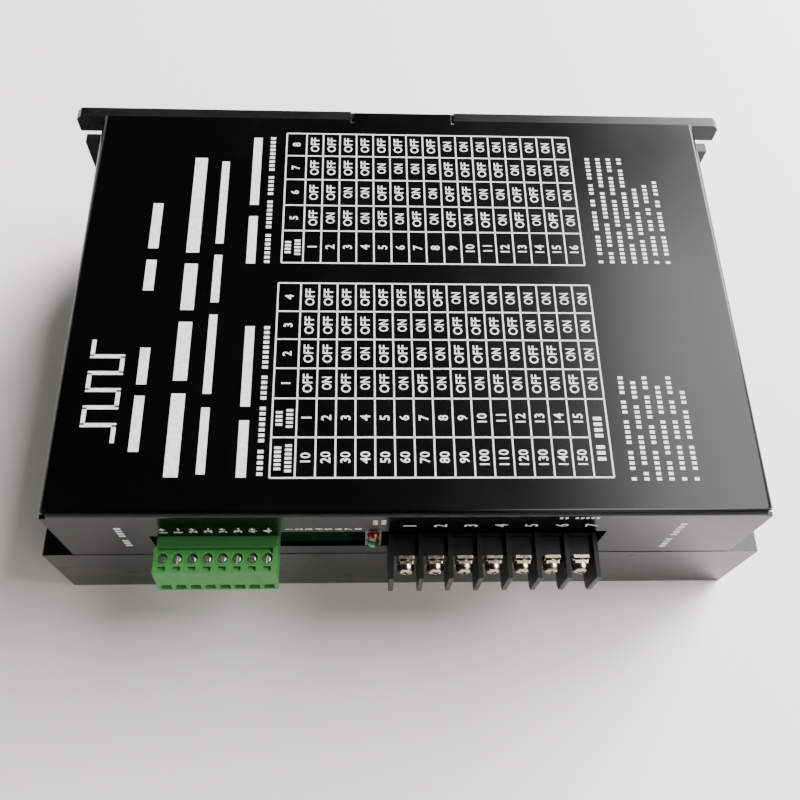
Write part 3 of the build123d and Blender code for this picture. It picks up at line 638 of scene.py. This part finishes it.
def drawTitles(lines, small, notes, wave):
    ink = Ink("titlePrint", onTop)
    for x, y, height, length, counts in lines:
        ink.blocks(x, y, height, length, counts, solid=True)
    for x, y, height, length, counts in small:
        ink.blocks(x, y, height, length, counts)
    for part in ("upper", "lower"):
        x, y = notes[part]
        for number, counts in enumerate(notes[part + "Runs"]):
            length = notes["blockPitch"] * (sum(counts) + len(counts) - 1)
            ink.blocks(x + notes["pitch"] * number, y + length / 2, notes["height"], length, counts)
    half = wave["line"] / 2
    start = wave["y"] - wave["steps"] * wave["pitch"] + wave["pitch"] / 2
    high = wave["x"] - wave["height"] / 2
    low = wave["x"] + wave["height"] / 2
    for i in range(2 * wave["steps"]):
        y = start + i * wave["pitch"]
        side = high if i % 2 else low
        ink.bar(side - half, y - wave["pitch"] / 2, side + half, y + wave["pitch"] / 2)
        if i:
            edge = y - wave["pitch"] / 2
            ink.bar(high - half, edge - half, low + half, edge + half)
    return ink.finish()


drawTitles(titleLines, smallLines, noteLines, waveMark)
print("title marks drawn")

signalMarks = {
    "marks": ("1+", "1-", "2+", "2-", "3+", "3-", "4+", "4-"),
    "start": -63.46,
    "pitch": 3.81,
    "z": 52.6,
    "height": 2.2,
    "length": 3.6,
    "weight": 0.025,
}
switchMarks = {
    "marks": "12345678",
    "start": -31.3,
    "pitch": 2.54,
    "z": 53.45,
    "height": 1.9,
    "length": None,
    "weight": 0.03,
}
powerMarks = {
    "marks": "1234567",
    "start": -0.44,
    "pitch": 7.85,
    "z": 55.7,
    "height": 3.4,
    "length": None,
    "weight": 0.01,
}
panelRuns = {
    # x, z, height, length, blocks in each run
    "level": ((42.5, 61.3, 1.2, 10.7, (2, 5)),),
    "upright": (
        (-9.2, 58.6, 1.2, 3.6, (4,)),
        (-7.1, 58.8, 1.2, 3.6, (4,)),
        (70.6, 47.0, 1.7, 21.0, (4, 5)),
        (-74.5, 47.8, 1.7, 16.0, (3, 4)),
    ),
}


def drawPanelPrint(rows, runs):
    ink = Ink("panelPrint", onPanel)
    for row in rows:
        for i, mark in enumerate(row["marks"]):
            x = row["start"] + row["pitch"] * i
            ink.words(mark, x, row["z"], row["height"], row["length"], row["weight"])
    for run in runs["level"]:
        ink.blocks(*run, level=True)
    for run in runs["upright"]:
        ink.blocks(*run)
    return ink.finish()


drawPanelPrint((signalMarks, switchMarks, powerMarks), panelRuns)
print("panel marks drawn")


# floor and light

floorLook = {
    "flat": 1.7,
    "sweep": 0.5,
    "rim": 1.0,
    "around": 96,
    "sweepSteps": 8,
    "near": opaque(0.82, 0.82, 0.79),
    "far": opaque(0.88, 0.865, 0.84),
    "clouds": 3.0,
    "roughness": (0.5, 0.6),
}


# a round flat bench whose edge sweeps up into a low wall
def layFloor(look):
    flat, sweep, around = look["flat"], look["sweep"], look["around"]
    profile = [(flat / 2, 0.0), (flat, 0.0)]
    for step in range(1, look["sweepSteps"] + 1):
        turn = math.pi / 2 * step / look["sweepSteps"]
        profile.append((flat + sweep * math.sin(turn), sweep * (1 - math.cos(turn))))
    profile.append((flat + sweep, look["rim"]))

    points = [(0.0, 0.0, 0.0)]
    for radius, height in profile:
        for i in range(around):
            turn = 2 * math.pi * i / around
            points.append((radius * math.cos(turn), radius * math.sin(turn), height))
    faces = [(0, 1 + i, 1 + (i + 1) % around) for i in range(around)]
    for ring in range(len(profile) - 1):
        low = 1 + ring * around
        for i in range(around):
            j = (i + 1) % around
            faces.append((low + i, low + around + i, low + around + j, low + j))
    mesh = bpy.data.meshes.new("floor")
    mesh.from_pydata(points, [], faces)
    mesh.shade_smooth()

    bench = Finish("benchTop", IOR=1.45)
    cloud = bench.noise(look["clouds"], detail=3.0, rough=0.5)
    bench.feed("Base Color", bench.blend(cloud, look["near"], look["far"]))
    bench.feed("Roughness", bench.spread(cloud, *look["roughness"]))
    mesh.materials.append(bench.material)
    ground = bpy.data.objects.new("floor", mesh)
    addToScene(ground)


lightSetup = {
    # name: place, point it faces, (width, height), watts, colour
    "ceilingPanel": ((1.04, 0.4, 1.3), (1.04, 0.4, 0.0), (1.14, 1.2), 72.0, (1.0, 0.99, 0.965)),
    "backWindow": ((1.13, 1.13, 0.82), (0.0, 0.0, 0.0), (1.2, 0.75), 105.0, (1.0, 0.985, 0.955)),
    "roomFill": ((0.95, -0.95, 1.3), (0.0, 0.0, 0.0), (0.8, 0.8), 6.5, (1.0, 1.0, 0.9)),
}
skyLook = {"colour": (0.9, 1.0, 0.92), "strength": 0.01}


def hangLights(setup, sky):
    for name, (place, aim, (wide, tall), watts, colour) in setup.items():
        away = Vector(place) - Vector(aim)
        data = bpy.data.lights.new(name, "AREA")
        data.shape = "RECTANGLE"
        data.size = wide
        data.size_y = tall
        data.energy = watts
        data.color = colour
        holder = bpy.data.objects.new(name, data)
        holder.location = place
        holder.rotation_euler = (-away).to_track_quat("-Z", "Y").to_euler()
        addToScene(holder)
    world = bpy.data.worlds.new("room")
    world.use_nodes = True
    background = world.node_tree.nodes["Background"]
    background.inputs["Color"].default_value = opaque(*sky["colour"])
    background.inputs["Strength"].default_value = sky["strength"]
    bpy.context.scene.world = world


layFloor(floorLook)
hangLights(lightSetup, skyLook)
print("floor and light ready")
